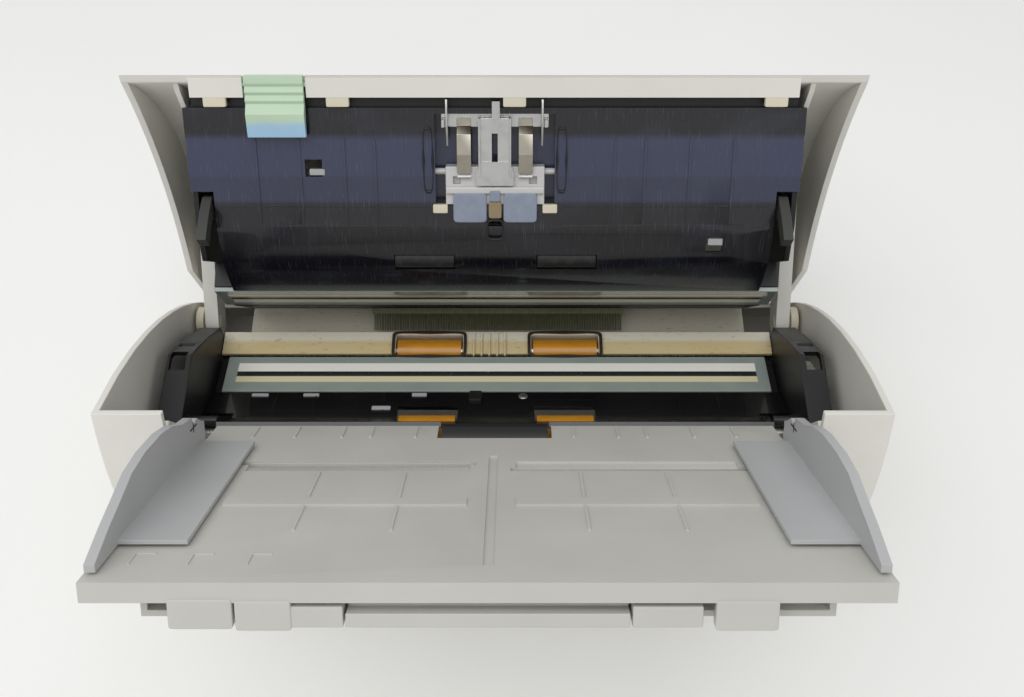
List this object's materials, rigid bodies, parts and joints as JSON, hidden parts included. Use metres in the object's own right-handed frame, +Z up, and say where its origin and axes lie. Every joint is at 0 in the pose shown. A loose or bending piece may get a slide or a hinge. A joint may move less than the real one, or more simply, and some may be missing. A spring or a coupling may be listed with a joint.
{
  "type": "document scanner",
  "caption": "Compact sheet-fed document scanner with its cover open, showing the rollers, scan glass and separation pads, and a folding feed chute with paper guides and extensions.",
  "frame": {"origin": "on the table, under the middle of the part's box", "axes": "+X to the right seen from the feed side, +Y from the feed side to the front, +Z up"},
  "size_m": [0.284, 0.239, 0.1921],
  "materials": {
    "white_shell": "fine-textured off-white moulding",
    "grey_chute": "fine-textured warm grey moulding",
    "grey_guide": "satin grey moulding",
    "dark_plate": "glossy blue-black moulding",
    "black_plastic": "satin black moulding",
    "dark_grey": "satin dark grey moulding",
    "cream_plastic": "satin cream moulding",
    "scan_glass": "polished, with a dark backing",
    "amber_rubber": "smooth amber rubber",
    "black_rubber": "ground black rubber",
    "pad_rubber": "ground blue-grey rubber",
    "pad_grey": "glossy light grey moulding",
    "spring_steel": "rolled spring steel",
    "bright_steel": "bright steel",
    "green_lever": "satin pale green moulding",
    "brush_fibre": "stiff dark fibres",
    "white_gear": "self-lubricating white moulding",
    "circuit_green": "solder mask",
    "foot_rubber": "matt black rubber"
  },
  "bodies": {
    "base": {"base_pan": "white_shell", "side_cover_left": "white_shell", "side_cover_right": "white_shell", "foot_front_left": "foot_rubber", "foot_front_right": "foot_rubber", "foot_rear_left": "foot_rubber", "foot_rear_right": "foot_rubber", "lower_guide_plate": "black_plastic", "exit_plate": "cream_plastic", "lower_glass": "scan_glass", "lower_sensor_housing": "black_plastic", "side_frame_left": "black_plastic", "side_frame_right": "black_plastic", "pick_roller_cap": "black_plastic", "motor": "bright_steel", "main_board": "circuit_green", "data_port": "bright_steel", "power_inlet": "black_plastic", "hinge_bracket_left": "cream_plastic", "hinge_bracket_right": "cream_plastic"},
    "feed_drive": {"feed_shaft": "bright_steel", "feed_roller_left": "amber_rubber", "feed_roller_right": "amber_rubber", "feed_gear": "white_gear"},
    "exit_drive": {"exit_shaft": "bright_steel", "exit_roller_left": "amber_rubber", "exit_roller_right": "amber_rubber", "exit_gear": "white_gear"},
    "idler": {"idler_gear": "white_gear"},
    "motor_drive": {"motor_pinion": "white_gear"},
    "pick": {"pick_roller": "black_rubber"},
    "output": {"output_tray": "white_shell"},
    "cover": {"cover_shell": "white_shell", "cover_guide_plate": "dark_plate", "upper_glass": "scan_glass", "upper_sensor_housing": "black_plastic", "cover_cheek_left": "black_plastic", "cover_cheek_right": "black_plastic", "leaf_spring_left": "spring_steel", "leaf_spring_right": "spring_steel", "pad_bracket": "bright_steel", "antistatic_brush": "brush_fibre"},
    "pads": {"pad_holder": "pad_grey", "pad_left": "pad_rubber", "pad_right": "pad_rubber"},
    "pinch_left": {"pinch_roller_left": "black_rubber"},
    "pinch_right": {"pinch_roller_right": "black_rubber"},
    "exit_idler_roller": {"exit_idler": "black_rubber"},
    "lever": {"release_lever": "green_lever"},
    "latch": {"latch_bar": "dark_grey"},
    "scan_key": {"scan_button": "grey_guide"},
    "power_key": {"power_button": "grey_guide"},
    "chute": {"chute_top": "grey_chute", "chute_bottom": "grey_chute"},
    "left_guide": {"guide_left": "grey_guide"},
    "right_guide": {"guide_right": "grey_guide"},
    "guide_gear": {"guide_pinion": "white_gear"},
    "outer_stage": {"extension_outer": "grey_chute"},
    "inner_stage": {"extension_inner": "grey_chute"}
  },
  "joints": [
    {"name": "cover_hinge", "type": "hinge", "parent": "base", "child": "cover", "pos_m": [0, 0.06052, 0.052], "axis": [1, 0, 0], "range_deg": [0, 60]},
    {"name": "chute_hinge", "type": "hinge", "parent": "base", "child": "chute", "pos_m": [0, -0.02801, 0.09991], "axis": [1, 0, 0], "range_deg": [-52, 0]},
    {"name": "feed_spin", "type": "hinge", "parent": "base", "child": "feed_drive", "pos_m": [0, -0.00493, 0.06764], "axis": [1, 0, 0], "continuous": true},
    {"name": "exit_spin", "type": "hinge", "parent": "base", "child": "exit_drive", "pos_m": [0, 0.04406, 0.05202], "axis": [1, 0, 0], "continuous": true},
    {"name": "idler_spin", "type": "hinge", "parent": "base", "child": "idler", "pos_m": [0, 0.01907, 0.05137], "axis": [1, 0, 0], "continuous": true},
    {"name": "motor_spin", "type": "hinge", "parent": "base", "child": "motor_drive", "pos_m": [0, 0.01984, 0.02938], "axis": [1, 0, 0], "continuous": true},
    {"name": "pick_spin", "type": "hinge", "parent": "base", "child": "pick", "pos_m": [0, -0.02052, 0.09009], "axis": [1, 0, 0], "continuous": true},
    {"name": "output_slide", "type": "slide", "parent": "base", "child": "output", "axis": [0, 1, 0], "range_m": [0, 0.07]},
    {"name": "pad_pivot", "type": "hinge", "parent": "cover", "child": "pads", "pos_m": [0, 0.07356, 0.1444], "axis": [1, 0, 0], "range_deg": [-2, 0.6], "stiffness_Nm_per_rad": 0.2},
    {"name": "pinch_left_spin", "type": "hinge", "parent": "cover", "child": "pinch_left", "pos_m": [0, 0.05323, 0.11377], "axis": [1, 0, 0], "continuous": true},
    {"name": "pinch_right_spin", "type": "hinge", "parent": "cover", "child": "pinch_right", "pos_m": [0, 0.05323, 0.11377], "axis": [1, 0, 0], "continuous": true},
    {"name": "exit_idler_spin", "type": "hinge", "parent": "cover", "child": "exit_idler_roller", "pos_m": [0, 0.06069, 0.0711], "axis": [1, 0, 0], "continuous": true},
    {"name": "latch_hinge", "type": "hinge", "parent": "cover", "child": "latch", "pos_m": [0, 0.07322, 0.124], "axis": [1, 0, 0], "range_deg": [-7, 0], "stiffness_Nm_per_rad": 0.5},
    {"name": "lever_hinge", "type": "hinge", "parent": "cover", "child": "lever", "pos_m": [-0.08375, 0.09085, 0.17472], "axis": [1, 0, 0], "range_deg": [-12, 0], "stiffness_Nm_per_rad": 0.1},
    {"name": "scan_key_slide", "type": "slide", "parent": "cover", "child": "scan_key", "axis": [0, -0.9857, 0.1684], "range_m": [0, 0.001], "stiffness_N_per_m": 300},
    {"name": "power_key_slide", "type": "slide", "parent": "cover", "child": "power_key", "axis": [0, -0.9857, 0.1684], "range_m": [0, 0.001], "stiffness_N_per_m": 300},
    {"name": "left_guide_slide", "type": "slide", "parent": "chute", "child": "left_guide", "axis": [1, 0, 0], "range_m": [0, 0.086]},
    {"name": "right_guide_slide", "type": "slide", "parent": "chute", "child": "right_guide", "axis": [-1, 0, 0], "range_m": [0, 0.086]},
    {"name": "guide_gear_spin", "type": "hinge", "parent": "chute", "child": "guide_gear", "pos_m": [0, -0.04613, 0.12769], "axis": [0, 0.712, 0.7022], "continuous": true},
    {"name": "outer_stage_slide", "type": "slide", "parent": "chute", "child": "outer_stage", "axis": [0, -0.7022, 0.712], "range_m": [0, 0.07]},
    {"name": "inner_stage_slide", "type": "slide", "parent": "outer_stage", "child": "inner_stage", "axis": [0, -0.7022, 0.712], "range_m": [0, 0.07]}
  ],
  "couplings": [
    {"joint": "idler_spin", "follows": "feed_spin", "ratio": -0.70588},
    {"joint": "exit_spin", "follows": "feed_spin", "ratio": 1.5},
    {"joint": "motor_spin", "follows": "feed_spin", "ratio": 2.4},
    {"joint": "pick_spin", "follows": "feed_spin", "ratio": 0.75},
    {"joint": "lever_hinge", "follows": "latch_hinge", "ratio": 1.6667},
    {"joint": "right_guide_slide", "follows": "left_guide_slide", "ratio": 1},
    {"joint": "guide_gear_spin", "follows": "left_guide_slide", "rad_per_m": -222.22}
  ]
}
